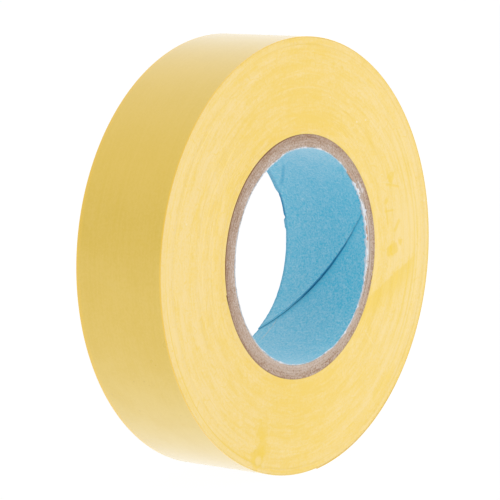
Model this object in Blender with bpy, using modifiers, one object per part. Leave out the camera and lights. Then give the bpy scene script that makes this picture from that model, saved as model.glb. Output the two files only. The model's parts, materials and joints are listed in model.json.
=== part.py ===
"""Roll of PVC electrical tape on a spiral-wound paper core.

World frame: metres, +Z up. The roll's axis is X, and the origin is the centre of the
bore at mid width. The roll stands on its rim. Angles are degrees about +X, measured
from +Y towards +Z. The tape is wound clockwise, seen from +X, from the core outwards.
"""

import math

import bmesh
import bpy

MM = 0.001

# Driving dimensions of the roll
WIDTH = 19.0 * MM
ROLL_R = 39.4 * MM
CORE_R = 22.0 * MM
BORE_R = 19.3 * MM

# One turn of tape, from its outer face inwards: film, then adhesive
FILM_T = 0.140 * MM
ADHESIVE_T = 0.020 * MM
CLEARANCE = 0.004 * MM
TURN = FILM_T + ADHESIVE_T + 2 * CLEARANCE

# Paper core: a liner and spiral-wound kraft plies, each with an open butt seam
LINER_T = 0.2 * MM
PLY_COUNT = 5
GLUE_GAP = 0.02 * MM
SEAM_HEIGHT = 0.4 * MM
SEAM_DEG_PER_M = 4000.0
LINER_SEAM_DEG = -19.0
SEAM_STAGGER_DEG = 137.0

# Round shapes have one facet per link of the free end, and one facet faces the floor
FACETS = 72
FACET_DEG = 360.0 / FACETS
CORNER_DEG = FACET_DEG / 2

# Where the tape starts on the core and ends on the rim
TAPE_START_DEG = -167.5
TAPE_END_DEG = -82.5
LIFT_FACETS = 2
TAIL_LINKS = 8
HINGE_GAP = 0.02 * MM

WELD = 0.001 * MM
SHARP_ANGLE = math.radians(30.0)

TAPE_YELLOW = (0.80, 0.56, 0.13)
TAPE_EDGE_YELLOW = (0.86, 0.68, 0.28)
ADHESIVE_AMBER = (0.72, 0.55, 0.22)
KRAFT_BROWN = (0.50, 0.38, 0.28)
LINER_BLUE = (0.13, 0.42, 0.60)


def clear_scene():
    for obj in list(bpy.data.objects):
        bpy.data.objects.remove(obj, do_unlink=True)


def add_collection(name):
    collection = bpy.data.collections.new(name)
    bpy.context.scene.collection.children.link(collection)
    return collection


def principled(name, colour, roughness):
    material = bpy.data.materials.new(name)
    material.use_nodes = True
    shader = material.node_tree.nodes["Principled BSDF"]
    shader.inputs["Base Color"].default_value = (*colour, 1.0)
    shader.inputs["Roughness"].default_value = roughness
    shader.inputs["Metallic"].default_value = 0.0
    return material


def add_empty(name, collection, parent=None, location=(0.0, 0.0, 0.0)):
    empty = bpy.data.objects.new(name, None)
    empty.empty_display_size = 5 * MM
    empty.location = location
    empty.parent = parent
    collection.objects.link(empty)
    return empty


def add_mesh_object(name, mesh, collection, parent, material=None):
    """Link a mesh as an object, with its round faces shaded smooth."""
    if material:
        mesh.materials.append(material)
    mesh.shade_smooth()
    mesh.set_sharp_from_angle(angle=SHARP_ANGLE)
    obj = bpy.data.objects.new(name, mesh)
    obj.parent = parent
    collection.objects.link(obj)
    return obj


def polar(radius, degrees):
    angle = math.radians(degrees)
    return radius * math.cos(angle), radius * math.sin(angle)


def disc_outline_curve(name, outlines):
    """A flat curve, filled between its outlines and as thick as the tape is wide."""
    curve = bpy.data.curves.new(name, "CURVE")
    curve.dimensions = "2D"
    curve.fill_mode = "BOTH"
    curve.extrude = WIDTH / 2
    for outline in outlines:
        spline = curve.splines.new("POLY")
        spline.points.add(len(outline) - 1)
        for point, (x, y) in zip(spline.points, outline):
            point.co = (x, y, 0.0, 1.0)
        spline.use_cyclic_u = True
    return curve


def mesh_from_curve(name, curve):
    """Evaluate the curve as a mesh and weld its loose caps to its walls."""
    source = bpy.data.objects.new(name + "_outline", curve)
    bpy.context.scene.collection.objects.link(source)
    graph = bpy.context.evaluated_depsgraph_get()
    mesh = bpy.data.meshes.new_from_object(source.evaluated_get(graph))
    bpy.data.objects.remove(source, do_unlink=True)
    mesh.name = name
    bm = bmesh.new()
    bm.from_mesh(mesh)
    bmesh.ops.remove_doubles(bm, verts=bm.verts, dist=WELD)
    bmesh.ops.recalc_face_normals(bm, faces=bm.faces)
    bm.to_mesh(mesh)
    bm.free()
    return mesh


def swept_bar(name, inner_r, outer_r, height, start_deg, sweep_deg, steps, rise=0.0):
    """Sweep a rectangle about the roll's axis, and along it by rise, as a closed bar."""
    bm = bmesh.new()
    half = height / 2
    section = [(inner_r, -half), (outer_r, -half), (outer_r, half), (inner_r, half)]
    corners = []
    for radius, along in section:
        x, y = polar(radius, start_deg)
        corners.append(bm.verts.new((x, y, along - rise / 2)))
    face = bm.faces.new(corners)
    bmesh.ops.spin(
        bm,
        geom=[face, *face.edges, *face.verts],
        axis=(0.0, 0.0, 1.0),
        cent=(0.0, 0.0, 0.0),
        dvec=(0.0, 0.0, rise / steps),
        angle=math.radians(sweep_deg),
        steps=steps,
        use_duplicate=False,
    )
    bmesh.ops.recalc_face_normals(bm, faces=bm.faces)
    mesh = bpy.data.meshes.new(name)
    bm.to_mesh(mesh)
    bm.free()
    return mesh


def turned_tube(name, inner_r, outer_r, collection, parent, material):
    """A tube turned by a Screw modifier from a rectangle that runs down its outer side."""
    half = WIDTH / 2
    profile = [(outer_r, 0, half), (outer_r, 0, -half), (inner_r, 0, -half), (inner_r, 0, half)]
    edges = [(0, 1), (1, 2), (2, 3), (3, 0)]
    mesh = bpy.data.meshes.new(name)
    mesh.from_pydata(profile, edges, [])
    tube = add_mesh_object(name, mesh, collection, parent, material)
    tube.rotation_euler.z = math.radians(CORNER_DEG)
    screw = tube.modifiers.new("turn", "SCREW")
    screw.axis = "Z"
    screw.angle = math.tau
    screw.steps = FACETS
    screw.render_steps = FACETS
    screw.use_merge_vertices = True
    screw.merge_threshold = WELD
    screw.use_smooth_shade = True
    return tube


def cut_butt_seam(tube, inner_r, outer_r, seam_deg, cutters, parent):
    """Open the helical seam where the two edges of a spiral-wound strip meet."""
    margin = 0.5 * MM
    rise = WIDTH + 2 * margin
    sweep = SEAM_DEG_PER_M * rise
    steps = math.ceil(sweep / FACET_DEG)
    name = tube.name + "_seam"
    mesh = swept_bar(name, inner_r - margin, outer_r + margin, SEAM_HEIGHT,
                     seam_deg - sweep / 2, sweep, steps, rise)
    cutter = add_mesh_object(name, mesh, cutters, parent)
    cutter.display_type = "WIRE"
    cutter.hide_render = True
    cut = tube.modifiers.new("butt_seam", "BOOLEAN")
    cut.operation = "DIFFERENCE"
    cut.solver = "EXACT"
    cut.object = cutter


def build_core(parts, cutters, axis):
    """The paper tube: a blue liner with kraft plies wound over it, seams staggered."""
    kraft = principled("kraft_paper", KRAFT_BROWN, 0.9)
    blue = principled("blue_liner_paper", LINER_BLUE, 0.75)
    liner_r = BORE_R + LINER_T
    ply_pitch = (CORE_R - liner_r) / PLY_COUNT
    layers = [("core_liner", BORE_R, liner_r, blue)]
    for number in range(PLY_COUNT):
        inner_r = liner_r + number * ply_pitch
        layers.append((f"core_ply_{number + 1}", inner_r, inner_r + ply_pitch, kraft))
    for number, (name, inner_r, outer_r, material) in enumerate(layers):
        outer_r -= GLUE_GAP
        tube = turned_tube(name, inner_r, outer_r, parts, axis, material)
        seam_deg = LINER_SEAM_DEG + number * SEAM_STAGGER_DEG
        cut_butt_seam(tube, inner_r, outer_r, seam_deg, cutters, axis)


def wound_tape_rim():
    """Outer outline, counter-clockwise from the tape's end. The first facets are the
    turn below the free end. The outermost turn starts at the peel line, one step up,
    and spirals in to meet them."""
    floor_r = ROLL_R - TURN
    outline = []
    for facet in range(TAIL_LINKS + 1):
        outline.append(polar(floor_r, TAPE_END_DEG + facet * FACET_DEG))
    for facet in range(TAIL_LINKS, FACETS):
        radius = ROLL_R - TURN * facet / FACETS
        outline.append(polar(radius, TAPE_END_DEG + facet * FACET_DEG))
    return outline


def wound_tape_bore():
    """Inner outline, clockwise from the tape's start. The first turn lies on the core
    and lifts off it over its last facets, to climb over the tape's start."""
    base_r = CORE_R + CLEARANCE
    outline = []
    for facet in range(FACETS + 1):
        lifted = max(0, facet - (FACETS - LIFT_FACETS))
        radius = base_r + TURN * lifted / LIFT_FACETS
        outline.append(polar(radius, TAPE_START_DEG - facet * FACET_DEG))
    return outline


def build_wound_tape(parts, axis):
    edge = principled("tape_edge", TAPE_EDGE_YELLOW, 0.5)
    curve = disc_outline_curve("wound_tape", [wound_tape_rim(), wound_tape_bore()])
    mesh = mesh_from_curve("wound_tape", curve)
    add_mesh_object("wound_tape", mesh, parts, axis, edge)


def tail_link_layer(name, outer_r, thickness, hinge_deg, hinge_xy):
    """One layer of a link of the free end, in the frame of the link's hinge."""
    gap_deg = math.degrees(HINGE_GAP / 2 / ROLL_R)
    sweep = -(FACET_DEG - 2 * gap_deg)
    mesh = swept_bar(name, outer_r - thickness, outer_r, WIDTH, hinge_deg - gap_deg, sweep, 1)
    for vertex in mesh.vertices:
        vertex.co.x -= hinge_xy[0]
        vertex.co.y -= hinge_xy[1]
    return mesh


def build_tail(parts, axis):
    """The free end of the tape: flat links, each hinged to the last at the film's face."""
    film = principled("tape_film", TAPE_YELLOW, 0.25)
    adhesive = principled("tape_adhesive", ADHESIVE_AMBER, 0.35)
    peel_deg = TAPE_END_DEG + TAIL_LINKS * FACET_DEG
    adhesive_r = ROLL_R - FILM_T - CLEARANCE
    parent = axis
    parent_xy = (0.0, 0.0)
    for number in range(1, TAIL_LINKS + 1):
        hinge_deg = peel_deg - (number - 1) * FACET_DEG
        hinge_xy = polar(ROLL_R, hinge_deg)
        step = (hinge_xy[0] - parent_xy[0], hinge_xy[1] - parent_xy[1], 0.0)
        hinge = add_empty(f"tail_hinge_{number}", parts, parent, step)
        film_name = f"tail_film_{number}"
        mesh = tail_link_layer(film_name, ROLL_R, FILM_T, hinge_deg, hinge_xy)
        add_mesh_object(film_name, mesh, parts, hinge, film)
        adhesive_name = f"tail_adhesive_{number}"
        mesh = tail_link_layer(adhesive_name, adhesive_r, ADHESIVE_T, hinge_deg, hinge_xy)
        add_mesh_object(adhesive_name, mesh, parts, hinge, adhesive)
        parent = hinge
        parent_xy = hinge_xy


def build():
    clear_scene()
    parts = add_collection("electrical_tape_roll")
    cutters = add_collection("electrical_tape_roll_cutters")
    axis = add_empty("roll_axis", parts)
    axis.rotation_euler = (math.radians(90.0), 0.0, math.radians(90.0))
    build_core(parts, cutters, axis)
    build_wound_tape(parts, axis)
    build_tail(parts, axis)


build()
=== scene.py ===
"""Looks of a roll of yellow PVC electrical tape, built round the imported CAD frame.

Row frame: metres, +Z up. The roll's axis is X, and the origin is the bore's centre.
Polar angles are degrees about +X, from +Y towards +Z. The tape winds clockwise, seen
from +X, so its polar angle falls as the winding, counted in turns, grows.
"""

import json
import math

import bmesh
import bpy
import numpy as np
from mathutils import Matrix, Vector


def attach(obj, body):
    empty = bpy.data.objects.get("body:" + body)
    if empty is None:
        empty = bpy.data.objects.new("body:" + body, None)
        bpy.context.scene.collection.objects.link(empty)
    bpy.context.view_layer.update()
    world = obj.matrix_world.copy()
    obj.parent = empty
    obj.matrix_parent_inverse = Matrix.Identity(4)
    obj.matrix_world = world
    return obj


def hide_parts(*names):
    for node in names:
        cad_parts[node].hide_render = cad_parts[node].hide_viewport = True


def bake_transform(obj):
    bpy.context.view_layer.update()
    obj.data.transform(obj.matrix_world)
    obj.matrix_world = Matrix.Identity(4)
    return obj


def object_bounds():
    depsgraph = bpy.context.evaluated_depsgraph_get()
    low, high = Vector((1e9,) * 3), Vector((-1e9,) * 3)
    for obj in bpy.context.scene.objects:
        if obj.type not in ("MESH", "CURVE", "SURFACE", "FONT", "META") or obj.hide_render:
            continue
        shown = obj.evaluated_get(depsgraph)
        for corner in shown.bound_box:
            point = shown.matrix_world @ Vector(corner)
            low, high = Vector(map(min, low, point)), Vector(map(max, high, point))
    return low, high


MM = 0.001

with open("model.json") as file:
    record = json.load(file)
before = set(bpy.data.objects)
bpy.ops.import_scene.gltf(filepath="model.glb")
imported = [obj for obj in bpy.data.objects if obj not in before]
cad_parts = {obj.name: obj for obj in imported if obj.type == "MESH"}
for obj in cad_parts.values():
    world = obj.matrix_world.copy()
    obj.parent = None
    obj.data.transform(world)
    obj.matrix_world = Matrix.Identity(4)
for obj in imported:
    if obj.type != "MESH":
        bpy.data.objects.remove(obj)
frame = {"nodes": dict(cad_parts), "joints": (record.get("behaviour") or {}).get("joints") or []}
cad_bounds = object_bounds()
random = np.random.default_rng(19)


# -------- sizes from the frame

def corner_radii(node):
    """Distances of a CAD node's corners from the roll's axis."""
    return [math.hypot(v.co.y, v.co.z) for v in frame["nodes"][node].data.vertices]


HINGES = frame["joints"]
HINGE_DEG = [math.degrees(math.atan2(hinge["pos_m"][2], hinge["pos_m"][1])) for hinge in HINGES]
HALF_WIDTH = cad_bounds[1].x
ROLL_R = max(corner_radii("tail_film_1"))
CORE_R = max(corner_radii("core_ply_5"))
LINER_R = max(corner_radii("core_liner"))
PLY_COUNT = 5
LINER_T = 0.18 * MM
BORE_R = LINER_R - LINER_T

# The tape: film over adhesive, wound from the core to the peel line of the free end
FILM_T = 0.14 * MM
ADHESIVE_T = 0.02 * MM
FILM_BEVEL = 0.03 * MM
ADHESIVE_BEVEL = 0.004 * MM
NOMINAL_TURN = 0.168 * MM
FIRST_TURN_R = CORE_R + 0.03 * MM
START_DEG = -167.5
PEEL_DEG = HINGE_DEG[0]
LINK_DEG = PEEL_DEG - HINGE_DEG[1]
END_DEG = -82.95
BEND_LENGTH = 1.3 * MM
PEEL_SHARE = (START_DEG - PEEL_DEG) % 360.0 / 360.0
PEEL_TURN = round((ROLL_R - FIRST_TURN_R) / NOMINAL_TURN - 1 - PEEL_SHARE) + PEEL_SHARE
TURN = (ROLL_R - FIRST_TURN_R) / (PEEL_TURN + 1)

# The first turns climb over the tape's start, and the step evens out further out
LIFT_SHARE = 9.0 / 360.0
TURNS_TO_EVEN = 16.0

# Relief of the side faces: turns stand out by different amounts, with grooves between
SPLIT_TURN = 80
INNER_STEPS = 144
OUTER_STEPS = 288
GROOVE_DEPTH = 0.025 * MM
GROOVE_LIP = 0.012 * MM
LIP_LOW = 1.1 * ADHESIVE_T
LIP_HIGH = 0.4 * ADHESIVE_T
EDGE_WANDER = 0.020 * MM
EDGE_JITTER = 0.007 * MM
WANDER_TURNS = 4.3
JITTER_TURNS = 1 / 1.37
RING_R = 0.963 * ROLL_R
RING_TURN = round((RING_R - FIRST_TURN_R) / TURN)
RING_GAP = 0.07 * MM
RING_STEP = 0.02 * MM

# The core's end stands a little proud at the front, and draws the first turns with it
PROUD_AT_BORE = 0.20 * MM
PROUD_AT_TAPE = 0.12 * MM
DRAWN_OUT = 0.06 * MM
DRAWN_TURNS = 9.0
MOUTH_X = HALF_WIDTH + PROUD_AT_BORE

# A pressed mark in the front face, near the rim
MARK_DEG = -109.4
MARK_R = 0.948 * ROLL_R
MARK_SIZE = 1.05 * MM
MARK_DEPTH = 0.05 * MM
MARK_SPAN_DEG = 3.6
MARK_STEP_DEG = 0.3

# The liner's helical lap
SEAM_DEG_PER_MM = 3.97
SEAM_DEG = -17.9
LAP = 1.6 * MM
LAP_LIFT = 0.17 * MM

# The same sizes in millimetres, as the materials use them
HALF_MM, MOUTH_MM = HALF_WIDTH / MM, MOUTH_X / MM
ROLL_MM, CORE_MM, LINER_MM, BORE_MM = (r / MM for r in (ROLL_R, CORE_R, LINER_R, BORE_R))

# Camera, at the photograph's viewing angle
CAMERA_AZIMUTH = 38.4
CAMERA_ELEVATION = 6.47
CAMERA_DISTANCE = 0.5375
CAMERA_RIGHT = -0.001865
CAMERA_UP = 0.00054
CAMERA_ROLL = 0.0032
CAMERA_LENS = 214.15


# -------- small helpers

def smooth(value, low, high):
    """0 up to low, 1 from high on, and an even S-curve between. low may exceed high."""
    share = np.clip((value - low) / (high - low), 0.0, 1.0)
    return share * share * (3.0 - 2.0 * share)


def wrapped(degrees):
    """The same angle from -180 to 180."""
    return (np.asarray(degrees) + 180.0) % 360.0 - 180.0


def between(value, rise_from, rise_to, fall_from, fall_to):
    """1 between the middle two of four limits, and 0 outside the outer two."""
    return smooth(value, rise_from, rise_to) * smooth(value, fall_to, fall_from)


def value_noise(positions, levels):
    """Smooth random curve through levels from -1 to 1, which repeat."""
    cell = np.floor(positions).astype(int)
    here = levels[cell % len(levels)]
    there = levels[(cell + 1) % len(levels)]
    return here + (there - here) * smooth(positions - cell, 0.0, 1.0)


def ring_noise(degrees, waves, levels):
    """Random curve round the roll, closed on itself after a whole number of waves."""
    return value_noise(np.asarray(degrees) % 360.0 / 360.0 * waves, levels[:waves])


def random_levels(count):
    return random.uniform(-1.0, 1.0, count)


def at(x, radius, degrees):
    """Points in the row frame from a place along the axis, a radius and an angle."""
    angle = np.radians(degrees)
    x, radius, angle = np.broadcast_arrays(x, radius, angle)
    return np.stack([x, radius * np.cos(angle), radius * np.sin(angle)], axis=-1)


def add_object(name, points, faces, materials, face_materials=None, sharp_deg=35.0):
    """A closed, smooth-shaded mesh object from lists of points. Its faces point outwards."""
    mesh = bpy.data.meshes.new(name)
    points = np.concatenate([np.reshape(part, (-1, 3)) for part in points])
    mesh.from_pydata(points.tolist(), [], faces)
    for material in materials:
        mesh.materials.append(material)
    if face_materials is not None:
        mesh.polygons.foreach_set("material_index", np.asarray(face_materials, np.int32))
    bm = bmesh.new()
    bm.from_mesh(mesh)
    bmesh.ops.recalc_face_normals(bm, faces=bm.faces)
    bm.to_mesh(mesh)
    bm.free()
    mesh.shade_smooth()
    mesh.set_sharp_from_angle(angle=math.radians(sharp_deg))
    obj = bpy.data.objects.new(name, mesh)
    bpy.context.scene.collection.objects.link(obj)
    return obj


def grid_faces(rows, columns, offset=0, wrap_rows=False, wrap_columns=False):
    """Quads over a grid of points that is stored row by row."""
    faces = []
    for row in range(rows if wrap_rows else rows - 1):
        above = (row + 1) % rows
        for column in range(columns if wrap_columns else columns - 1):
            beside = (column + 1) % columns
            corners = ((row, column), (row, beside), (above, beside), (above, column))
            faces.append([offset + r * columns + c for r, c in corners])
    return faces


# -------- materials

class Nodes:
    """A node tree whose inputs are fed by nested calls, one node each."""

    def __init__(self, owner):
        owner.use_nodes = True
        self.tree = owner.node_tree

    def node(self, kind, inputs=None, **settings):
        node = self.tree.nodes.new("ShaderNode" + kind)
        for key, value in settings.items():
            setattr(node, key, value)
        for key, value in (inputs or {}).items():
            self.feed(node.inputs[key], value)
        return node

    def feed(self, socket, value):
        if isinstance(value, bpy.types.NodeSocket):
            self.tree.links.new(value, socket)
        elif socket.type == "RGBA":
            socket.default_value = (*value, 1.0)
        else:
            socket.default_value = value


class Recipe(Nodes):
    """A Principled material. Places are in millimetres, in the piece's own frame, which
    is the row frame at rest."""

    def __init__(self, name):
        self.material = bpy.data.materials.new(name)
        super().__init__(self.material)
        self.shader = self.tree.nodes["Principled BSDF"]
        place = {0: self.node("TexCoord").outputs["Object"], "Scale": 1.0 / MM}
        self.place = self.node("VectorMath", place, operation="SCALE").outputs["Vector"]
        self.x, self.y, self.z = self.node("SeparateXYZ", {0: self.place}).outputs
        self.radius = self.math("SQRT", self.scaled(self.y, self.y, self.both(self.z, self.z)))
        self.cosine = self.math("DIVIDE", self.y, self.radius)
        self.sine = self.math("DIVIDE", self.z, self.radius)
        self.angle = self.math("ARCTAN2", self.sine, self.cosine)
        self.turned = self.both(self.angle, math.degrees(1.0))

    def math(self, operation, a, b=0.0, c=0.0):
        return self.node("Math", {0: a, 1: b, 2: c}, operation=operation).outputs[0]

    def both(self, *factors):
        product = factors[0]
        for factor in factors[1:]:
            product = self.math("MULTIPLY", product, factor)
        return product

    def scaled(self, value, factor, shift):
        return self.math("MULTIPLY_ADD", value, factor, shift)

    def combine(self, x, y, z):
        return self.node("CombineXYZ", {0: x, 1: y, 2: z}).outputs[0]

    def ramp(self, value, low, high, out_low=0.0, out_high=1.0):
        """Smooth step from out_low at low to out_high at high. low may exceed high."""
        inputs = {0: value, 1: low, 2: high, 3: out_low, 4: out_high}
        return self.node("MapRange", inputs, interpolation_type="SMOOTHSTEP").outputs[0]

    def within(self, value, low, high, fade):
        """1 between two values, fading to 0 outside them."""
        return self.both(self.ramp(value, low - fade, low), self.ramp(value, high + fade, high))

    def noise(self, vector, scale, detail=2.0, roughness=0.5):
        inputs = {"Vector": vector, "Scale": scale, "Detail": detail, "Roughness": roughness}
        return self.node("TexNoise", inputs).outputs[0]

    def mix(self, factor, a, b):
        node = self.node("Mix", data_type="RGBA")
        colours = [socket for socket in node.inputs if socket.type == "RGBA"]
        for socket, value in zip((node.inputs[0], *colours), (factor, a, b)):
            self.feed(socket, value)
        return next(socket for socket in node.outputs if socket.type == "RGBA")

    def tint(self, other, *shares):
        """Lays another colour over the recipe's, by the product of the shares."""
        self.colour = self.mix(self.both(*shares), self.colour, other)

    def swept(self, across, along):
        """A vector that changes slowly round the roll, and otherwise as across does."""
        return self.combine(across, self.both(self.cosine, along), self.both(self.sine, along))

    def around(self, along, radial):
        """Drawn out along the turns. It differs between the two side faces."""
        shift = self.both(self.math("SIGN", self.x), 3.0)
        return self.swept(self.scaled(self.radius, radial, shift), along)

    def blend_of(self, *parts):
        """Weighted sum of noises, shifted so that it varies about zero."""
        total = -0.5 * sum(weight for _, weight in parts)
        for value, weight in parts:
            total = self.scaled(value, weight, total)
        return total

    def cells(self, vector, feature):
        """Voronoi cells: a random tone for each, or the distance to the nearest edge."""
        node = self.node("TexVoronoi", {"Vector": vector, "Scale": 1.0}, feature=feature)
        if feature == "DISTANCE_TO_EDGE":
            return node.outputs["Distance"]
        return self.node("SeparateXYZ", {0: node.outputs["Color"]}).outputs[0]

    def specks(self, per_mm, size, rarity):
        """1 on small round specks. Only cells above the rarity, from 0 to 1, hold one."""
        node = self.node("TexVoronoi", {"Vector": self.place, "Scale": per_mm})
        chosen = self.node("SeparateXYZ", {0: node.outputs["Color"]}).outputs[1]
        return self.both(self.ramp(node.outputs["Distance"], size, 0.5 * size),
                         self.ramp(chosen, rarity, rarity + 0.02))

    def spot(self, place, size_mm, raggedness, amount):
        """1 within a ragged disc about a (y, z) place in mm, fading at its outline."""
        ends = {0: self.combine(0.0, self.y, self.z), 1: (0.0, *place)}
        spread = self.node("VectorMath", ends, operation="DISTANCE").outputs["Value"]
        shift = self.scaled(raggedness, amount, -0.5 * amount)
        return self.ramp(self.math("ADD", spread, shift), 1.25 * size_mm, 0.6 * size_mm)

    def spot_at(self, degrees, radius_mm, *more):
        """The same disc about a place given by its angle and radius."""
        return self.spot(at(0.0, radius_mm, degrees)[1:], *more)

    def near_radius(self, radius_mm, width_mm):
        """1 on a ring about the axis, fading to 0 a width away."""
        gap = self.math("ABSOLUTE", self.math("SUBTRACT", self.radius, radius_mm))
        return self.ramp(gap, 0.0, width_mm, 1.0, 0.0)

    def stroke(self, start, end, width_mm, fade_mm, u=None, v=None):
        """1 along a straight mark between two places in mm, fading at its sides. Places
        are (y, z) unless the two coordinates, u and v, are given."""
        start, end = Vector(start), Vector(end)
        middle, run = (start + end) / 2, end - start
        half = run.length / 2
        run.normalize()
        u = self.math("SUBTRACT", u or self.y, middle.x)
        v = self.math("SUBTRACT", v or self.z, middle.y)
        along = self.math("ABSOLUTE", self.scaled(u, run.x, self.both(v, run.y)))
        off = self.math("ABSOLUTE", self.scaled(u, -run.y, self.both(v, run.x)))
        return self.both(self.ramp(off, width_mm / 2, width_mm / 2 + fade_mm, 1.0, 0.0),
                         self.ramp(along, half - fade_mm, half + fade_mm, 1.0, 0.0))

    def bump(self, height, distance_mm, strength):
        inputs = {"Height": height, "Distance": distance_mm * MM, "Strength": strength}
        return self.node("Bump", inputs).outputs[0]

    def finish(self, roughness, bump, **more):
        inputs = {"Base Color": self.colour, "Roughness": roughness, "Normal": bump}
        inputs.update((key.replace("_", " "), value) for key, value in more.items())
        for key, value in inputs.items():
            self.feed(self.shader.inputs[key], value)
        return self.material


FILM_YELLOW = (0.745, 0.51, 0.046)
FILM_SHADE = (0.705, 0.472, 0.016)
# Paler film colour, for the painted reflection low down and the painted highlight on the wrinkle
FILM_PAINTED_SHEEN = (0.77, 0.575, 0.135)
EDGE_AMBER = (0.86, 0.54, 0.016)
FACE_YELLOW = (0.855, 0.620, 0.122)
FACE_PALE = (0.873, 0.684, 0.305)
FACE_DEEP = (0.843, 0.596, 0.052)
FACE_WHITE = (0.90, 0.78, 0.54)
# Painted light: a lighter film colour for a stretch of the rim where more light falls
FILM_PAINTED_LIGHT = (0.84, 0.56, 0.032)
FILM_DOT = (0.55, 0.34, 0.03)
ADHESIVE_DARK = (0.60, 0.40, 0.10)
ADHESIVE_PALE = (0.70, 0.50, 0.17)

# Ends of the painted highlight along the film's wrinkle: x in mm, and polar angle
WRINKLE = ((-4.5, -178.5), (9.4, -171.0))

# Rings on the right of the front face: share of the roll's radius, width, depth, tone
RIGHT_LINES = ((0.905, 0.22, 0.40, FACE_DEEP), (0.8817, 0.30, 0.50, FACE_DEEP),
               (0.8415, 0.42, 0.50, FACE_DEEP), (0.792, 0.25, 0.35, FACE_DEEP),
               (0.860, 0.30, 0.5, FACE_PALE), (0.893, 0.20, 0.5, FACE_PALE),
               (0.77, 0.20, 0.4, FACE_PALE))
TOP_ARC_MM = 30.35

# Marks on the side faces, as (y, z) places and sizes in mm
SMEARS = (((28.4, -0.9), 1.2), ((26.6, -1.5), 0.8), ((30.0, 0.3), 0.8), ((26.9, 12.3), 0.9),
          ((25.6, 8.2), 0.6))
NICKS = (((25.4, 6.8), (26.2, 3.6), 0.20), ((25.0, 6.2), (27.9, 6.3), 0.10),
         ((28.2, 2.2), (29.8, 4.4), 0.45), ((25.4, 11.3), (29.5, 10.6), 0.12),
         ((9.0, 34.3), (9.1, 33.8), 0.2), ((11.4, 33.7), (11.7, 33.2), 0.2))
SCRATCHES = (((-14.2, -26.5), (-11.0, -27.9), 0.06), ((-1.8, -30.4), (1.4, -30.1), 0.08),
             ((19.1, -15.2), (22.0, -18.5), 0.08), ((0.8, 36.3), (1.2, 36.0), 0.18),
             ((15.2, -17.3), (15.4, -17.6), 0.30), ((21.2, 33.1), (21.6, 32.7), 0.22))


def unrolled(ends, radius_mm):
    """(x, polar angle) places as (x, length round the circle), in mm."""
    return [(x, math.radians(degrees) * radius_mm) for x, degrees in ends]


def film_material():
    """Smooth PVC film: faint drawing streaks round the roll, painted highlight along a slanting
    wrinkle, a stretch painted lighter where more light falls, a few dots, painted reflection of
    the floor that makes it paler low down, and warmer edges."""
    m = Recipe("pvc_film")
    streaks = m.noise(m.swept(m.both(m.x, 2.0), 1.9), 1.0, 4.0, 0.6)
    clouds = m.noise(m.place, 0.13, 4.0, 0.6)
    grain = m.noise(m.place, 2.2, 3.0, 0.6)
    tone = m.blend_of((streaks, 1.1), (clouds, 1.3), (grain, 1.6))
    m.colour = m.mix(m.ramp(tone, -0.5, 0.5), FILM_SHADE, FILM_YELLOW)
    # Painted reflection of the floor: the rim is paler low down
    m.tint(FILM_PAINTED_SHEEN, m.ramp(m.sine, -0.15, -0.85), m.ramp(clouds, 0.3, 0.6, 0.5, 1.0), 0.58)
    # Painted highlight along a slanting wrinkle in the film
    wrinkle = m.stroke(*unrolled(WRINKLE, ROLL_MM), 0.3, 0.9, m.x, m.both(m.angle, ROLL_MM))
    m.tint(FILM_PAINTED_SHEEN, wrinkle, 0.05)
    # Painted light: a lighter stretch high on the left of the rim, where more light falls
    m.tint(FILM_PAINTED_LIGHT, m.within(m.turned, 122.0, 148.0, 22.0), 0.40)
    m.tint(FILM_DOT, m.specks(0.50, 0.11, 0.84), m.ramp(m.sine, 0.35, -0.25, 0.1, 0.4))
    edge = m.ramp(m.math("ABSOLUTE", m.x), HALF_MM - 0.34, HALF_MM - 0.14)
    m.tint(EDGE_AMBER, edge, 0.9)
    m.tint(EDGE_AMBER, m.ramp(m.x, 1.2 - HALF_MM, 0.2 - HALF_MM), 0.5)
    roughness = m.ramp(clouds, 0.2, 0.8, 0.27, 0.33)
    height = m.blend_of((streaks, 1.0), (clouds, 1.2), (grain, 0.15))
    return m.finish(roughness, m.bump(height, 0.03, 0.3), Coat_Weight=1.0,
                    Coat_Roughness=0.25, Coat_IOR=1.6)


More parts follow.
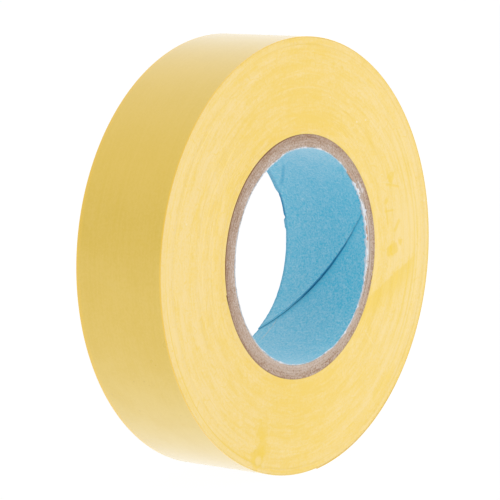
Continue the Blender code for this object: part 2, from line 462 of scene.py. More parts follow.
def face_material():
    """Slit edges of the wound film: concentric streaks, crackle, haze, a painted sheen to the left
    and right, painted shade in a groove near the rim, and a few marks.
    """
    m = Recipe("pvc_slit_edges")
    front = m.ramp(m.x, 0.0, 1.0)
    right = m.both(m.ramp(m.cosine, 0.72, 0.93), front)
    broad = m.noise(m.around(2.2, 0.5), 1.0, 2.0)
    fine = m.noise(m.around(5.0, 2.3), 1.0, 3.0, 0.6)
    blotches = m.noise(m.place, 0.42, 5.0, 0.68)
    grain = m.noise(m.place, 2.3, 3.0, 0.7)
    bricks = m.cells(m.around(8.0, 1.25), "F1")
    haze_and_sheen = m.blend_of((broad, 0.65), (fine, 0.85), (blotches, 0.85), (grain, 1.05),
                      (bricks, 0.20))
    outward = m.ramp(m.radius, CORE_MM, ROLL_MM, -0.08, 0.10)
    # Painted sheen: the face is paler to the left and right, where its fine grooves reflect the
    # light
    painted_sheen = m.scaled(m.math("ABSOLUTE", m.cosine), 0.30, -0.16)
    haze_and_sheen = m.math("ADD", haze_and_sheen, m.math("ADD", outward, painted_sheen))
    m.colour = m.mix(m.ramp(haze_and_sheen, -0.45, 0.50), FACE_YELLOW, FACE_PALE)

    # Fine breaks across the turns, and sparse specks
    crackle = m.cells(m.around(11.0, 0.8), "DISTANCE_TO_EDGE")
    crackle = m.both(m.ramp(crackle, 0.07, 0.02), m.ramp(blotches, 0.50, 0.62))
    m.tint(FACE_DEEP, crackle, 0.42)
    m.tint(FACE_DEEP, m.specks(0.50, 0.13, 0.86), 0.5)
    m.tint(FACE_WHITE, m.specks(0.37, 0.10, 0.90), 0.6)

    # Lines between turns that stand out: one near the rim, painted shade in its groove, strongest
    # low on the left, and several on the right
    low_left = m.both(m.ramp(m.cosine, -0.30, -0.42), m.ramp(m.sine, 0.1, -0.4))
    line = m.near_radius(RING_R / MM, 0.16)
    m.tint(FACE_DEEP, line, m.scaled(low_left, 0.55, 0.30))
    for share, width, depth, tone in RIGHT_LINES:
        line = m.near_radius(share * ROLL_MM, width)
        m.tint(tone, line, right, depth)
    m.tint(FACE_PALE, m.near_radius(TOP_ARC_MM, 0.22), m.ramp(m.cosine, 0.22, 0.10),
           m.ramp(m.cosine, -0.22, -0.14), m.ramp(m.sine, 0.0, 0.1), front, 0.45)
    m.tint(EDGE_AMBER, m.ramp(m.radius, ROLL_MM - 0.24, ROLL_MM - 0.08), 0.9)
    m.tint(FACE_DEEP, m.ramp(m.radius, ROLL_MM - 0.9, ROLL_MM - 0.2),
           m.ramp(m.cosine, 0.3, 0.7), front, 0.4)

    rubbed_stretch(m, blotches, right)
    pressed_mark(m, blotches, front)
    roughness = m.ramp(haze_and_sheen, -0.6, 0.6, 0.42, 0.58)
    height = m.blend_of((fine, 0.5), (bricks, 0.15), (grain, 0.3))
    return m.finish(roughness, m.bump(height, 0.03, 0.11), Specular_IOR_Level=0.5)


def rubbed_stretch(m, blotches, right):
    """On the right of the front face: a deeper patch under a slanting edge, a paler one
    above it, and smears. Short nicks and scratches lie here and elsewhere."""
    slant = m.scaled(blotches, 1.6, m.scaled(m.y, -0.45, m.z))
    m.tint(FACE_DEEP, m.ramp(slant, -17.3, -17.9), m.ramp(slant, -23.5, -19.0), right,
           m.ramp(m.radius, 36.5, 33.0), m.ramp(blotches, 0.30, 0.50, 0.35, 1.0), 0.55)
    m.tint(FACE_PALE, m.ramp(slant, -17.2, -16.4), m.ramp(slant, -2.5, -8.0), right,
           m.ramp(m.radius, 27.0, 29.0), m.ramp(m.radius, 36.0, 33.5), 0.45)
    for place, size in SMEARS:
        m.tint(FACE_DEEP, m.spot(place, size, blotches, 3.6), right, 0.6)
    for start, end, width in NICKS:
        m.tint(FACE_DEEP, m.stroke(start, end, width, 0.3), 0.55)
    for start, end, width in SCRATCHES:
        m.tint(FACE_WHITE, m.stroke(start, end, width, 0.25), 0.17)


def pressed_mark(m, blotches, front):
    """Near the rim, low on the front face: a pale bean in a deeper, ragged cloud."""
    centre = at(0.0, MARK_R / MM, MARK_DEG)[1:]
    cloud = (FACE_DEEP, 6.0, 0.48, ((0.0, 0.6, 2.2), (0.9, 2.4, 2.1), (0.8, 5.0, 1.7)))
    bean = (FACE_PALE, 1.2, 0.6, ((0.0, 0.0, 0.85), (1.3, -0.95, 0.55)))
    for tone, ragged, depth, discs in (cloud, bean):
        for dy, dz, size in discs:
            disc = m.spot((centre[0] + dy, centre[1] + dz), size, blotches, ragged)
            m.tint(tone, disc, front, depth)


def adhesive_material():
    """Amber rubber-resin coat, tacky and slightly uneven."""
    m = Recipe("adhesive_coat")
    patches = m.noise(m.place, 0.8, 4.0, 0.6)
    m.colour = m.mix(m.ramp(patches, 0.35, 0.65), ADHESIVE_DARK, ADHESIVE_PALE)
    grain = m.noise(m.place, 5.0, 3.0)
    return m.finish(m.ramp(patches, 0.3, 0.7, 0.30, 0.5), m.bump(grain, 0.02, 0.5))


KRAFT = (0.455, 0.33, 0.252)
KRAFT_LIGHT = (0.60, 0.505, 0.445)
KRAFT_DEEP = (0.335, 0.205, 0.130)
KRAFT_DUSTY = (0.68, 0.57, 0.485)
KRAFT_EDGE = (0.21, 0.095, 0.035)
KRAFT_RUST = (0.50, 0.27, 0.16)
TORN_WHITE = (0.80, 0.80, 0.82)
TORN_PINK = (0.66, 0.60, 0.575)


def kraft_material():
    """Grey-brown board seen end-on: paler at the bore and low on the right, speckled, with faint
    ply bands, painted shade along its outer edge, darkest on the left, and two nicks at the tape."""
    m = Recipe("kraft_board")
    layers = m.noise(m.around(6.0, 1.9), 1.0, 3.0, 0.6)
    speckle = m.noise(m.place, 2.6, 3.0, 0.8)
    outward = m.ramp(m.radius, LINER_MM, CORE_MM, 0.20, -0.20)
    tone = m.math("ADD", outward, m.blend_of((layers, 1.0), (speckle, 2.3)))
    low_right = m.scaled(m.sine, -0.75, m.both(m.cosine, 0.66))
    m.colour = m.mix(m.ramp(low_right, -0.7, 0.7, 0.0, 0.30), KRAFT, KRAFT_DUSTY)
    m.tint(KRAFT_LIGHT, m.ramp(tone, 0.0, 0.45))
    m.tint(KRAFT_DEEP, m.ramp(tone, -0.02, -0.45))
    m.tint(KRAFT_EDGE, m.specks(1.3, 0.20, 0.80), 0.50)
    torn_board(m, speckle)

    # Painted shade in the gap between core and tape: a dark outer line, strongest on the left and
    # top
    ragged = m.scaled(speckle, 0.25, m.radius)
    edge = m.ramp(ragged, CORE_MM - 0.14, CORE_MM)
    m.tint(KRAFT_EDGE, edge, m.ramp(m.cosine, 0.25, -0.40, 0.03, 0.85),
           m.ramp(m.sine, -0.35, 0.0, 0.45, 1.0))
    for degrees in (-12.5, -16.6):
        m.tint(FACE_YELLOW, m.spot_at(degrees, CORE_MM, 0.22, speckle, 0.2), 0.8)
    height = m.blend_of((layers, 0.6), (speckle, 1.0))
    return m.finish(0.92, m.bump(height, 0.14, 0.7), Specular_IOR_Level=0.2)


def torn_board(m, speckle):
    """The core's end beside the torn edge: board laid bare, pale shreds, and specks."""
    torn = m.both(m.ramp(m.turned, -20.0, -8.0), m.ramp(m.turned, 31.0, 22.0))
    reach = m.scaled(torn, 1.30, BORE_MM - 0.2)
    inside = m.math("SUBTRACT", m.scaled(speckle, 0.8, m.radius), reach)
    m.tint(TORN_PINK, m.ramp(inside, 0.55, 0.25), m.ramp(m.x, 5.0, 9.0), 0.9)
    for degrees, radius, size in ((31.0, 20.75, 0.55), (34.0, 20.65, 0.50), (36.5, 20.6, 0.3)):
        m.tint(TORN_PINK, m.spot_at(degrees, radius, size, speckle, 1.0), 0.85)
    bare = m.within(m.turned, 40.0, 47.0, 3.0)
    streak = m.within(m.turned, 5.0, 16.0, 3.0)
    near_bore = m.ramp(m.scaled(speckle, 0.6, m.radius), 20.55, 20.15)
    rust = m.scaled(bare, 0.45, m.both(streak, 0.9))
    m.tint(KRAFT_RUST, rust, near_bore, m.ramp(m.x, 5.0, 9.0))
    for degrees, radius in ((-7.5, 20.2), (-11.5, 20.2), (43.0, 20.15), (45.5, 20.0)):
        m.tint(KRAFT_EDGE, m.spot_at(degrees, radius, 0.14, speckle, 0.1), 0.7)


BLUE = (0.062, 0.480, 0.670)
BLUE_PALE = (0.37, 0.638, 0.765)
BLUE_DARK = (0.006, 0.225, 0.43)
BLUE_FOLD = (0.045, 0.39, 0.60)
BLUE_FLECK = (0.45, 0.62, 0.72)
TORN_SHADE = (0.60, 0.67, 0.75)

# Ends of the painted shade along the liner's fold: x in mm, and polar angle
FOLD = ((-4.3, 50.0), (-7.7, 34.0))


def liner_material():
    """Blue printed paper: fibre flecks, painted sheen towards the top and lower right, painted
    shade under the lap, at the crushed back end and along a fold, a hair, and a torn white front
    edge."""
    m = Recipe("blue_paper")
    fibre = m.noise(m.place, 2.6, 4.0, 0.8)
    clouds = m.noise(m.place, 0.5, 2.0)
    tone = m.blend_of((fibre, 3.4), (clouds, 0.35))
    # Painted sheen where the paper is seen at a grazing angle: paler towards the top and the lower
    # right
    tone = m.math("ADD", tone, m.ramp(m.turned, 20.0, 75.0, -0.06, 0.17))
    tone = m.math("ADD", tone, m.ramp(m.turned, -25.0, -50.0, 0.0, 0.13))
    deep_front = m.both(m.ramp(m.x, -7.0, 9.0, -0.5, 1.0), m.ramp(m.turned, 60.0, 20.0))
    tone = m.scaled(deep_front, -0.10, tone)
    m.colour = m.mix(m.ramp(tone, -0.65, 0.70), BLUE, BLUE_PALE)
    m.tint(BLUE_FLECK, m.specks(1.1, 0.16, 0.75), 0.35)
    off_seam = m.math("SUBTRACT", m.scaled(m.x, -SEAM_DEG_PER_MM, m.turned), SEAM_DEG)
    bow = m.both(m.ramp(m.x, 9.5, 1.0), m.ramp(m.x, -9.5, -1.0))
    off_seam = m.math("DIVIDE", off_seam, m.scaled(bow, 1.25, 0.35))
    frayed = m.scaled(fibre, 0.7, m.math("SUBTRACT", off_seam, 0.35))
    under_lap = m.ramp(off_seam, 0.30, 0.05)
    m.tint(BLUE, m.ramp(off_seam, -9.0, -0.5), under_lap, 0.55)
    m.tint(BLUE_DARK, m.ramp(frayed, -1.25, -0.75), under_lap,
           m.scaled(bow, 0.60, 0.35))
    crushed = m.within(m.turned, 14.0, 27.0, 3.0)
    m.tint(BLUE_DARK, m.ramp(m.x, -8.45, -8.95), m.scaled(crushed, 0.60, 0.35))
    # Painted shade along the liner's fold
    fold = m.stroke(*unrolled(FOLD, BORE_MM), 0.06, 0.50, m.x, m.both(m.angle, BORE_MM))
    m.tint(BLUE_FOLD, fold, 0.55)
    hair = m.scaled(fibre, 0.5, m.x)
    hair = m.ramp(m.math("ABSOLUTE", m.math("ADD", hair, 6.25)), 0.13, 0.05)
    m.tint(TORN_PINK, hair, m.within(m.turned, -62.0, -49.0, 4.0), 0.55)
    kept = m.math("SUBTRACT", 1.0, m.within(m.turned, 40.5, 47.5, 1.5))
    bared = m.ramp(m.scaled(fibre, 0.7, m.x), MOUTH_MM + 0.12, MOUTH_MM + 0.30)
    m.tint(TORN_WHITE, bared, kept, 0.9)
    height = m.blend_of((fibre, 1.0), (clouds, 0.8))
    return m.finish(0.8, m.bump(height, 0.12, 0.6), Specular_IOR_Level=0.25,
                    Sheen_Weight=0.45, Sheen_Roughness=0.45)


def torn_paper_material():
    """White inside of the liner paper, where it is torn: fluffy, with bluish shadows."""
    m = Recipe("torn_paper")
    fluff = m.noise(m.place, 3.0, 4.0, 0.7)
    m.colour = m.mix(m.ramp(fluff, 0.35, 0.65), TORN_SHADE, TORN_WHITE)
    brown = m.noise(m.place, 1.5, 3.0, 0.7)
    m.tint(KRAFT_LIGHT, m.ramp(brown, 0.58, 0.68), 0.6)
    return m.finish(0.95, m.bump(fluff, 0.08, 0.8), Specular_IOR_Level=0.15)


# -------- the winding

def inner_radius(turns):
    """Radius of the tape's inner face. The first turn lies on the core and lifts over
    the tape's start in its last few degrees. Later turns spread that step all round."""
    number = np.floor(turns + 1e-9)
    share = turns - number
    lift = smooth(share, 1.0 - LIFT_SHARE, 1.0)
    even = np.clip(number / TURNS_TO_EVEN, 0.0, 1.0)
    return FIRST_TURN_R + TURN * (number + lift + (share - lift) * even)


def winding_angle(turns):
    return START_DEG - 360.0 * np.asarray(turns)


WANDER_LEVELS = random_levels(61)
JITTER_LEVELS = random_levels(97)


def edge_offset(turns):
    """How far the tape lies out of true along the axis at this point of the winding."""
    wander = value_noise(turns / WANDER_TURNS, WANDER_LEVELS)
    jitter = value_noise(turns / JITTER_TURNS, JITTER_LEVELS)
    outer_band = RING_STEP * smooth(turns, RING_TURN - 0.5, RING_TURN + 0.5)
    drawn_out = DRAWN_OUT * smooth(turns, DRAWN_TURNS, 0.0)
    return EDGE_WANDER * wander + EDGE_JITTER * jitter + outer_band + drawn_out


def press_mark(points):
    """Sinks the front face at the pressed mark: a shallow dish with a deeper crescent."""
    centre = at(HALF_WIDTH, MARK_R, MARK_DEG)
    offset = points[:, 1:] - centre[1:]
    spread = np.hypot(*offset.T)
    dish = MARK_DEPTH * np.exp(-(spread / (0.9 * MARK_SIZE)) ** 2)
    towards = -(offset @ np.array([0.75, 0.65])) / np.maximum(spread, 1e-9)
    crescent = np.exp(-((spread / MARK_SIZE - 1.25) / 0.3) ** 2) * np.clip(towards, 0.0, 1.0)
    points[:, 0] -= dish + MARK_DEPTH * crescent


def winding_shares(steps, refined):
    """Where each turn is sampled, as shares of a turn, closer together at the mark."""
    shares = np.arange(steps) / steps
    if refined:
        count = int(2 * MARK_SPAN_DEG / MARK_STEP_DEG)
        extra = np.linspace(MARK_DEG - MARK_SPAN_DEG, MARK_DEG + MARK_SPAN_DEG, count)
        extra = (START_DEG - extra) % 360.0 / 360.0
        keep = [s for s in shares if np.abs(extra - s).min() > 0.4 * MARK_STEP_DEG / 360.0]
        shares = np.sort(np.concatenate([keep, extra]))
    return shares


def wound_stack(name, first_turn, last_turn, shares, materials):
    """A run of turns as one closed body. On each side face every turn has its own flat
    slit edge, and a groove parts it from the next."""
    count = len(shares)
    start = first_turn * count
    whole, share = divmod(last_turn, 1.0)
    stop = int(whole) * count + int(np.abs(shares - share).argmin())
    length = stop - start

    edge = np.arange(start, stop + 1)
    valley = np.arange(start, stop + count + 1)
    edge_turn = edge // count + shares[edge % count]
    valley_turn = valley // count + shares[valley % count]
    above = edge_offset(valley_turn)
    below = edge_offset(valley_turn - 1.0)
    inside = valley < start + count
    outside = valley > stop
    above = np.where(outside, below, above)
    below = np.where(inside, above, below)
    depth = np.where(inside | outside, GROOVE_LIP, GROOVE_DEPTH)
    depth = np.where((valley_turn >= RING_TURN) & (valley_turn < RING_TURN + 1), RING_GAP, depth)

    points = []
    for side in (1.0, -1.0):
        base = side * HALF_WIDTH
        floor = np.minimum(above, below) if side > 0 else np.maximum(above, below)
        valley_r = inner_radius(valley_turn)
        points.append(at(base + floor - side * depth, valley_r, winding_angle(valley_turn)))
        lip_x = base + edge_offset(edge_turn)
        for lip_r in (inner_radius(edge_turn) + LIP_LOW, inner_radius(edge_turn + 1.0) - LIP_HIGH):
            points.append(at(lip_x, lip_r, winding_angle(edge_turn)))
        if side > 0:
            for ring in points:
                press_mark(ring)

    starts = np.cumsum([0] + [len(ring) for ring in points]).tolist()
    faces, groups = [], []

    def strip(first, second, columns, group):
        for column in columns:
            faces.append([first + column, first + column + 1,
                          second + column + 1, second + column])
            groups.append(group)

    for side in (0, 3):
        groove, low, high = starts[side:side + 3]
        for first, second in ((groove, low), (low, high), (high, groove + count)):
            strip(first, second, range(length), 0)
    for columns in (range(count), range(length, length + count)):
        strip(starts[0], starts[3], columns, 1)
    for end in (0, length):
        chains = []
        for side in (0, 3):
            groove, low, high = starts[side:side + 3]
            chains.append([groove + end, low + end, high + end, groove + end + count])
        for n in range(3):
            faces.append([chains[0][n], chains[0][n + 1], chains[1][n + 1], chains[1][n]])
            groups.append(1)
    return add_object(name, points, faces, materials, groups)


def tape_layer(name, first_turn, last_turn, step_deg, inner, outer, bevel, materials):
    """One layer of the tape along a stretch of its winding, between two heights above
    the turn below. Its outer corners are eased, and both ends are cut square."""
    count = max(2, math.ceil((last_turn - first_turn) * 360.0 / step_deg) + 1)
    turns = np.linspace(first_turn, last_turn, count)
    base = inner_radius(turns)
    flat = HALF_WIDTH - bevel
    section = [(HALF_WIDTH, inner), (HALF_WIDTH, outer - bevel)]
    section += [(x, outer) for x in np.linspace(flat, -flat, 9)]
    section += [(-HALF_WIDTH, outer - bevel), (-HALF_WIDTH, inner)]
    points = [at(x + edge_offset(turns), base + height, winding_angle(turns))
              for x, height in section]
    rows = len(section)
    faces = grid_faces(rows, count, wrap_rows=True)
    groups = [1 if row in (0, rows - 2) else 0 for row in range(rows) for _ in range(count - 1)]
    faces += [[row * count + column for row in range(rows)] for column in (0, count - 1)]
    return add_object(name, points, faces, materials, groups + [1, 1], 30.0)


def finish_piece(obj, node, body="roll"):
    """Hides its CAD node, and attaches it to its body if one is given."""
    if body:
        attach(obj, body)
    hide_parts(node)


FILM_BASE = TURN - FILM_T
ADHESIVE_TOP = FILM_BASE - 0.2 * ADHESIVE_T
ADHESIVE_BASE = ADHESIVE_TOP - ADHESIVE_T


def build_winding(face, adhesive, layers):
    """All the turns below the free end. Each layer holds the heights of its two faces,
    its bevel, and the materials of its skin and of its cut edges."""
    stacks = (("winding_inner", 0, float(SPLIT_TURN), winding_shares(INNER_STEPS, False)),
              ("winding_outer", SPLIT_TURN, PEEL_TURN - 1.0, winding_shares(OUTER_STEPS, True)))
    for stack in stacks:
        finish_piece(wound_stack(*stack, [face, adhesive]), "wound_tape")
    for kind, step_deg in (("film", 0.5), ("adhesive", 2.5)):
        turn = tape_layer(f"outer_turn_{kind}", PEEL_TURN - 1.0, PEEL_TURN, step_deg,
                          *layers[kind])
        finish_piece(turn, "wound_tape")


def build_free_end(layers):
    """The free end, in pieces that run from mid link to mid link. A piece that holds a hinge is
    given no body; the last piece goes with the last link's body."""
    half_bend = math.degrees(BEND_LENGTH / ROLL_R) / 2
    cuts = [PEEL_DEG] + [degrees - LINK_DEG / 2 for degrees in HINGE_DEG] + [END_DEG]
    cut_turns = [PEEL_TURN + (PEEL_DEG - degrees) / 360.0 for degrees in cuts]
    for number, (first, last) in enumerate(zip(cut_turns, cut_turns[1:])):
        link = min(number + 1, len(HINGES))
        for kind, layer in layers.items():
            piece = tape_layer(f"free_end_{kind}_{number + 1}", first, last, 0.2, *layer)
            if number < len(HINGES):
                joint, degrees = HINGES[number], HINGE_DEG[number]
                start = Vector(at(0.0, ROLL_R, degrees + half_bend))
                end = Vector(at(0.0, ROLL_R, degrees - half_bend))
                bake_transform(piece)
                body = None
            else:
                body = HINGES[-1]["child"]
            finish_piece(piece, f"tail_{kind}_{link}", body=body)


# -------- the paper core

# Cut ends of the plies: crowned, rough, set back, and notched at the ply's own seam
END_CROWN = 0.035 * MM
END_ROUGH = 0.018 * MM
END_SOFT = 0.02 * MM
END_SET_BACK = 0.075 * MM
NOTCH_DEPTH = 0.08 * MM
NOTCH_DEG = 0.7
SEAMS_APART_DEG = 137.0
PLY_GAP = 0.02 * MM

# The bore is pressed out of round between these depths, most at its front edge
WAVE_START = 5.0 * MM
WAVE_END = 9.3 * MM

# The liner's paper: its leading edge stands open and eases down, its trailing edge sinks
PAPER_T = 0.13 * MM
PAPER_SET_BACK = 0.03 * MM
LAP_OPEN = 1.4 * MM
LAP_EASE = 7.0 * MM
SINK = 0.02 * MM
SINK_LENGTH = 6.0 * MM
RIPPLE = 0.02 * MM
RIPPLE_FROM = 8.0 * MM

# Its fold near the back end, as (x in mm, polar angle), its torn edge and its fibres
CREASE = ((-3.6, 52.0), (-8.2, 31.5))
CREASE_WIDTH = 0.85 * MM
CREASE_DEPTH = 0.30 * MM
TORN_DEPTH = 0.80 * MM
FIBRES = 420
FIBRES_AT_TEARS = 0.6

BACK_LEVELS = random_levels(200)
FRONT_LEVELS = random_levels(240)


def core_back(degrees):
    """How far the core's back end stops short of the tape. It is crushed on one side,
    with two chips and a tongue, and stands out a little above the middle."""
    turned = wrapped(degrees)
    crushed = between(turned, -96.0, -70.0, 24.0, 34.0)
    chips = 0.22 * np.exp(-((turned - 13.4) / 0.8) ** 2)
    chips = chips + 0.14 * np.exp(-((turned - 28.0) / 1.1) ** 2)
    tongue = between(turned, 6.5, 7.7, 11.8, 12.8)
    proud = between(turned, 5.0, 12.0, 65.0, 80.0)
    return (0.47 * crushed + chips - 0.17 * tongue - 0.09 * proud + 0.02) * MM


def torn_stretches(degrees):
    """Shares, at each angle, of the four kinds of torn edge at the bore's front: a wide
    white flap, a long band, a bare stretch of board, and a narrow part of the band."""
    turned = wrapped(degrees)
    flap = between(turned, 28.0, 31.0, 38.5, 40.5)
    flap = flap + 0.7 * between(turned, 17.0, 19.5, 25.5, 28.0)
    band = between(turned, -36.0, -12.0, 20.0, 26.0)
    bare = between(turned, 39.5, 41.0, 46.5, 48.5)
    narrow = between(turned, 2.0, 6.0, 15.0, 18.0)
    return flap, band, bare, narrow


MOUTH_LEVELS = random_levels(110)


def mouth_wave(degrees):
    """How far the bore's front edge is pressed outwards, in metres."""
    turned = wrapped(degrees)
    slow = ring_noise(degrees, 25, MOUTH_LEVELS)
    quick = ring_noise(degrees, 110, MOUTH_LEVELS)
    pressed_out = 0.33 * between(turned, -68.0, -60.0, -22.0, -12.0)
    pressed_out = pressed_out + 0.22 * between(turned, 46.0, 50.0, 104.0, 111.0)
    pressed_in = 0.12 * between(turned, -10.0, 0.0, 15.0, 30.0)
    return (0.05 * slow + 0.03 * quick + pressed_out - pressed_in) * MM


def core_board(number, inner_r, outer_r, material):
    """One kraft ply: a closed tube whose cut ends are slightly rough, with the ends of
    its butt seam left as a fine notch."""
    count, across = 360, 6
    degrees = np.arange(count) * 360.0 / count
    radii = np.linspace(inner_r, outer_r, across)
    wave = mouth_wave(degrees) if number == 1 else np.zeros(count)
    points = []
    for side in (1.0, -1.0):
        rough = [ring_noise(degrees, 180, random_levels(180)) for _ in radii]
        soft = ring_noise(degrees, 24, random_levels(24))
        seam = SEAM_DEG + side * SEAM_DEG_PER_MM * HALF_MM + number * SEAMS_APART_DEG
        notch = np.exp(-(wrapped(degrees - seam) / NOTCH_DEG) ** 2)
        for column in range(across)[::int(side)]:
            crown = 1.0 - abs(2.0 * column / (across - 1) - 1.0) ** 3
            ends = END_CROWN * crown + END_ROUGH * rough[column] + END_SOFT * soft
            x = HALF_WIDTH - END_SET_BACK + ends - NOTCH_DEPTH * notch
            radius = radii[column]
            if side < 0:
                x = x - core_back(degrees)
            else:
                flap, band, _, _ = torn_stretches(degrees)
                out = (radius - LINER_R) / (CORE_R - LINER_R)
                x = x + PROUD_AT_BORE + (PROUD_AT_TAPE - PROUD_AT_BORE) * out
                x = x - 0.10 * MM * (flap + band) * (radius < BORE_R + 1.2 * MM)
                radius = radius + wave * (1.0 - column / (across - 1))
            points.append(at(side * x, radius, degrees))
        if side > 0:
            for along in (0.5, -0.5):
                points.append(at(along * HALF_WIDTH, outer_r, degrees))
    for x in np.array((-5.0, 5.0, 6.1, 7.2, 8.2, 9.3)) * MM:
        points.append(at(x, inner_r + wave * smooth(x, WAVE_START, WAVE_END), degrees))
    faces = grid_faces(len(points), count, wrap_rows=True, wrap_columns=True)
    board = add_object(f"core_board_{number}", points, faces, [material])
    finish_piece(board, f"core_ply_{number}")


def build_liner(material):
    """The blue liner: one strip of paper wound as a helix. Its leading edge laps over
    its trailing edge and stands a little open halfway along."""
    rows, columns = 57, 760
    strip_deg = 360.0 + math.degrees(LAP / BORE_R)
    turned = np.linspace(0.0, 1.0, columns) * strip_deg
    arc = np.radians(turned) * BORE_R
    left = np.radians(strip_deg - turned) * BORE_R
    points = []
    for face in (0, 1):
        for row in range(rows):
            along = row / (rows - 1)
            nominal = (2.0 * along - 1.0) * HALF_WIDTH
            degrees = SEAM_DEG + SEAM_DEG_PER_MM * nominal / MM + turned
            ragged = ring_noise(degrees, 200, BACK_LEVELS)
            back = core_back(degrees) - HALF_WIDTH + (0.035 * ragged - 0.03) * MM
            ragged = ring_noise(degrees, 240, FRONT_LEVELS)
            flap, band, bare, _ = torn_stretches(degrees)
            front = MOUTH_X - (0.12 + 0.07 * ragged) * MM
            front = front - (0.22 + 0.14 * ragged) * MM * (flap + band + bare)
            x = back + (front - back) * along
            bow = math.sin(math.pi * min(1.0, 0.12 + along * 0.94)) ** 2
            lift = LAP_LIFT * (0.35 + 0.65 * bow) * np.exp(-arc / LAP_OPEN)
            lap_ramp = PAPER_T * smooth(arc, LAP_EASE, LAP)
            sink = SINK * smooth(left, SINK_LENGTH, 0.0)
            ripple = RIPPLE * ring_noise(degrees, 17, FRONT_LEVELS) * (arc > RIPPLE_FROM)
            crease = crease_depth(x, wrapped(degrees))
            wave = mouth_wave(degrees) * smooth(x, WAVE_START, WAVE_END)
            radius = BORE_R + PAPER_SET_BACK - lift - lap_ramp + sink + ripple + crease
            radius = np.minimum(radius, LINER_R - 1.05 * PAPER_T) + wave
            points.append(at(x, radius + face * PAPER_T, degrees))
    faces = grid_faces(rows, columns) + grid_faces(rows, columns, rows * columns)
    sheet = np.arange(rows * columns).reshape(rows, columns)
    outline = [*sheet[:, 0], *sheet[-1, 1:], *sheet[-2::-1, -1], *sheet[0, -2:0:-1]]
    outline = np.array(outline).tolist()
    faces += [[a, b, b + sheet.size, a + sheet.size]
              for a, b in zip(outline, outline[1:] + outline[:1])]
    liner = add_object("liner", points, faces, [material], sharp_deg=50.0)
    finish_piece(liner, "core_liner")


def crease_depth(x, degrees):
    """A soft fold in the liner, near its back end and above its middle."""
    start, end = np.array(unrolled(CREASE, BORE_MM)) * MM
    length = np.linalg.norm(end - start)
    run = (end - start) / length
    dx, da = x - start[0], np.radians(degrees) * BORE_R - start[1]
    along = (dx * run[0] + da * run[1]) / length
    off = (dx * run[1] - da * run[0]) / CREASE_WIDTH
    return -CREASE_DEPTH * between(along, -0.1, 0.6, 0.8, 1.25) * off * np.exp(-off ** 2)


def build_torn_edge(material):
    """The white, torn paper at the bore's front edge: a ragged rim all round, which
    folds out over the end of the core where the edge is torn most."""
    count = 1440
    degrees = np.arange(count) * 360.0 / count
    flap, band, bare, narrow = torn_stretches(degrees)
    coarse = ring_noise(degrees, 110, random_levels(110))
    middle = ring_noise(degrees, 300, random_levels(300))
    fine = ring_noise(degrees, 720, random_levels(720))
    ragged = 0.5 * coarse + 0.5 * middle + 0.35 * fine
    turned = wrapped(degrees)
    whole = smooth(turned, 47.0, 52.0) + smooth(turned, -70.0, -80.0)
    bits = 0.12 * smooth(coarse + 0.8 * middle, 0.55, 1.1)
    wedge = 0.24 * np.exp(-((turned - 108.0) / 2.0) ** 2)
    reach = (0.12 + 0.17 * ragged) * (1.0 - 0.55 * whole) + flap * (0.36 + 0.24 * ragged)
    reach = reach + whole * (bits + wedge)
    reach = reach + band * (0.17 + 0.18 * ragged) - narrow * 0.10
    reach = np.maximum(reach * (1.0 - bare), 0.03) * MM
    inner = np.maximum(0.01 + 0.07 * middle + 0.06 * fine, 0.0) * (1.0 - bare) * MM
    stand = (0.01 + 0.03 * middle + 0.02 * fine + (flap + band) * (0.05 + 0.05 * coarse)) * MM
    mouth = BORE_R + mouth_wave(degrees) + 0.05 * MM * bare
    front = MOUTH_X - 0.50 * MM * bare
    profile = ((MOUTH_X - TORN_DEPTH, mouth + 0.06 * MM),
               (front - 0.14 * MM, mouth + 0.06 * MM),
               (front - 0.04 * MM + 0.6 * stand, mouth - inner),
               (front + 0.01 * MM + stand, mouth + 0.40 * reach),
               (front - 0.02 * MM + 0.5 * stand, mouth + reach),
               (front - 0.12 * MM, mouth + 0.9 * reach),
               (front - 0.18 * MM, mouth + 0.10 * MM),
               (MOUTH_X - TORN_DEPTH, mouth + 0.10 * MM))
    points = [at(x, radius, degrees) for x, radius in profile]
    faces = grid_faces(len(points), count, wrap_rows=True, wrap_columns=True)
    edge = add_object("torn_edge", points, faces, [material], sharp_deg=60.0)
    finish_piece(edge, "core_liner")


def build_fibres(material):
    """Loose paper fibres along the bore's front edge, each a fine tapering hair."""
    points, faces = [], []
    sides, joints = 3, 5
    for _ in range(FIBRES):
        in_torn = random.random() < FIBRES_AT_TEARS
        degrees = random.uniform(-34.0, 40.0) if in_torn else random.uniform(0.0, 360.0)
        out = random.uniform(0.0, 0.9 if in_torn else 0.25) * MM
        root = at(MOUTH_X - 0.06 * MM, BORE_R + mouth_wave(degrees) + out, degrees)
        outward = at(0.0, 1.0, degrees)
        tangent = at(0.0, 1.0, degrees + 90.0)
        heading = np.array([random.uniform(0.1, 0.8), 0.0, 0.0])
        heading = heading + outward * random.uniform(-0.9, 0.5) + tangent * random.uniform(-1, 1)
        heading = heading / np.linalg.norm(heading)
        curl = (outward * random.uniform(-1, 1) + tangent * random.uniform(-1, 1)) * 0.5
        length = random.uniform(0.15, 0.5) * MM
        base = len(points)
        for joint in range(joints):
            along = joint / (joints - 1)
            centre = root + (heading * along + curl * along * along) * length
            width = (0.016 - 0.011 * along) * MM
            for side in range(sides):
                angle = math.tau * side / sides
                spread = outward * math.cos(angle) + tangent * math.sin(angle)
                points.append(centre + spread * width)
        faces += grid_faces(joints, sides, base, wrap_columns=True)
        for first in (base, base + (joints - 1) * sides):
            faces.append(list(range(first, first + sides)))
    fibres = add_object("paper_fibres", points, faces, [material])
    finish_piece(fibres, "core_liner")


def build_core(kraft, blue, torn):
    pitch = (CORE_R - LINER_R) / PLY_COUNT
    for number in range(1, PLY_COUNT + 1):
        outer_r = LINER_R + number * pitch
        gap = 0.0 if number == 1 else PLY_GAP
        core_board(number, outer_r - pitch + gap, outer_r, kraft)
    build_liner(blue)
    build_torn_edge(torn)
    build_fibres(torn)


# -------- floor, light, camera

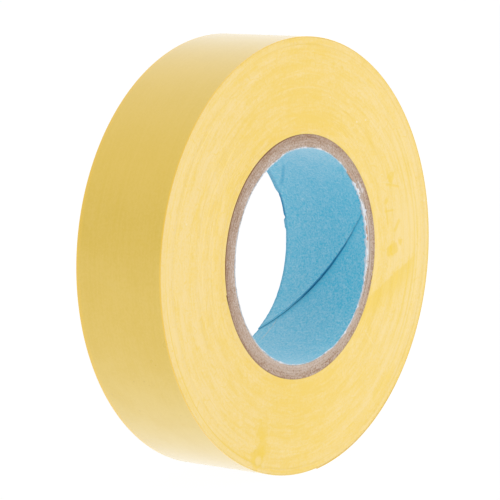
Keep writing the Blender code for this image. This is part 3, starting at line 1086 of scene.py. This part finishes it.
FLOOR_SIZE = 3.0
FLOOR_SEEN = 0.985
FLOOR_SHADE = (0.03, 0.03, 0.03)
FLOOR_GLOW = 1.08
WHITE = (1.0, 1.0, 1.0)
SKY_BRIGHT_SIDE = (-0.15, 0.90, 0.41)
SKY_SPREAD = 0.9
SKY_FRONT = 0.80
SKY_BACK = 1.08
SOFTBOX_PLACE = (0.55, 0.35, 0.30)
SOFTBOX_SIZE = 0.40
SOFTBOX_POWER = 0.7


def build_floor():
    """A plain white floor. To the camera it is lit from within, so that only a faint
    contact shadow shows, and it throws soft light up at the roll."""
    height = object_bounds()[0].z
    corners = [(FLOOR_SIZE * x, FLOOR_SIZE * y, height)
               for x, y in ((-1, -1), (1, -1), (1, 1), (-1, 1))]
    material = bpy.data.materials.new("white_floor")
    nodes = Nodes(material)
    nodes.tree.nodes.clear()
    seen = nodes.node("LightPath").outputs["Is Camera Ray"]
    glow_up = nodes.node("Emission", {"Strength": FLOOR_GLOW}).outputs[0]
    glow_seen = nodes.node("Emission", {"Strength": FLOOR_SEEN}).outputs[0]
    shade = nodes.node("BsdfDiffuse", {"Color": FLOOR_SHADE}).outputs[0]
    look = nodes.node("AddShader", {0: glow_seen, 1: shade}).outputs[0]
    pick = nodes.node("MixShader", {0: seen, 1: glow_up, 2: look}).outputs[0]
    nodes.node("OutputMaterial", {"Surface": pick})
    add_object("floor", corners, [[0, 1, 2, 3]], [material])


def build_sky():
    """A light tent: brightest behind the roll and dimmer on the camera's side. The
    camera itself sees plain white."""
    world = bpy.data.worlds.new("light_tent")
    bpy.context.scene.world = world
    nodes = Nodes(world)
    nodes.tree.nodes.clear()
    facing = {0: nodes.node("TexCoord").outputs["Generated"], 1: SKY_BRIGHT_SIDE}
    toward = nodes.node("VectorMath", facing, operation="DOT_PRODUCT").outputs["Value"]
    inputs = {"Value": toward, "From Min": -SKY_SPREAD, "From Max": SKY_SPREAD,
              "To Min": SKY_FRONT, "To Max": SKY_BACK}
    strength = nodes.node("MapRange", inputs, interpolation_type="SMOOTHSTEP").outputs[0]
    lit = nodes.node("Background", {"Color": WHITE, "Strength": strength}).outputs[0]
    plain = nodes.node("Background", {"Color": WHITE}).outputs[0]
    seen = nodes.node("LightPath").outputs["Is Camera Ray"]
    pick = nodes.node("MixShader", {0: seen, 1: lit, 2: plain}).outputs[0]
    nodes.node("OutputWorld", {"Surface": pick})


def build_softbox():
    light = bpy.data.lights.new("right_softbox", "AREA")
    light.size = SOFTBOX_SIZE
    light.energy = SOFTBOX_POWER
    lamp = bpy.data.objects.new("right_softbox", light)
    lamp.location = SOFTBOX_PLACE
    lamp.rotation_euler = (-Vector(SOFTBOX_PLACE)).to_track_quat("-Z", "Y").to_euler()
    bpy.context.scene.collection.objects.link(lamp)


def build_camera():
    azimuth, elevation = math.radians(CAMERA_AZIMUTH), math.radians(CAMERA_ELEVATION)
    right = Vector((math.cos(azimuth), math.sin(azimuth), 0.0))
    back = Vector((math.sin(azimuth) * math.cos(elevation),
                   -math.cos(azimuth) * math.cos(elevation), math.sin(elevation)))
    right = Matrix.Rotation(CAMERA_ROLL, 3, back) @ right
    up = back.cross(right)
    camera = bpy.data.cameras.new("camera")
    camera.sensor_width = 36.0
    camera.lens = CAMERA_LENS
    camera.clip_start = 0.01
    camera.clip_end = 20.0
    place = right * CAMERA_RIGHT + up * CAMERA_UP + back * CAMERA_DISTANCE
    obj = bpy.data.objects.new("camera", camera)
    turn = Matrix((right, up, back)).transposed()
    obj.matrix_world = Matrix.Translation(place) @ turn.to_4x4()
    bpy.context.scene.collection.objects.link(obj)
    bpy.context.scene.camera = obj


# -------- the scene

film = film_material()
face = face_material()
adhesive = adhesive_material()
layers = {"film": (FILM_BASE, TURN, FILM_BEVEL, [film, face]),
          "adhesive": (ADHESIVE_BASE, ADHESIVE_TOP, ADHESIVE_BEVEL, [adhesive, adhesive])}
build_winding(face, adhesive, layers)
build_free_end(layers)
build_core(kraft_material(), liner_material(), torn_paper_material())
build_floor()
build_sky()
build_softbox()
build_camera()
bpy.context.scene.view_settings.view_transform = "Standard"
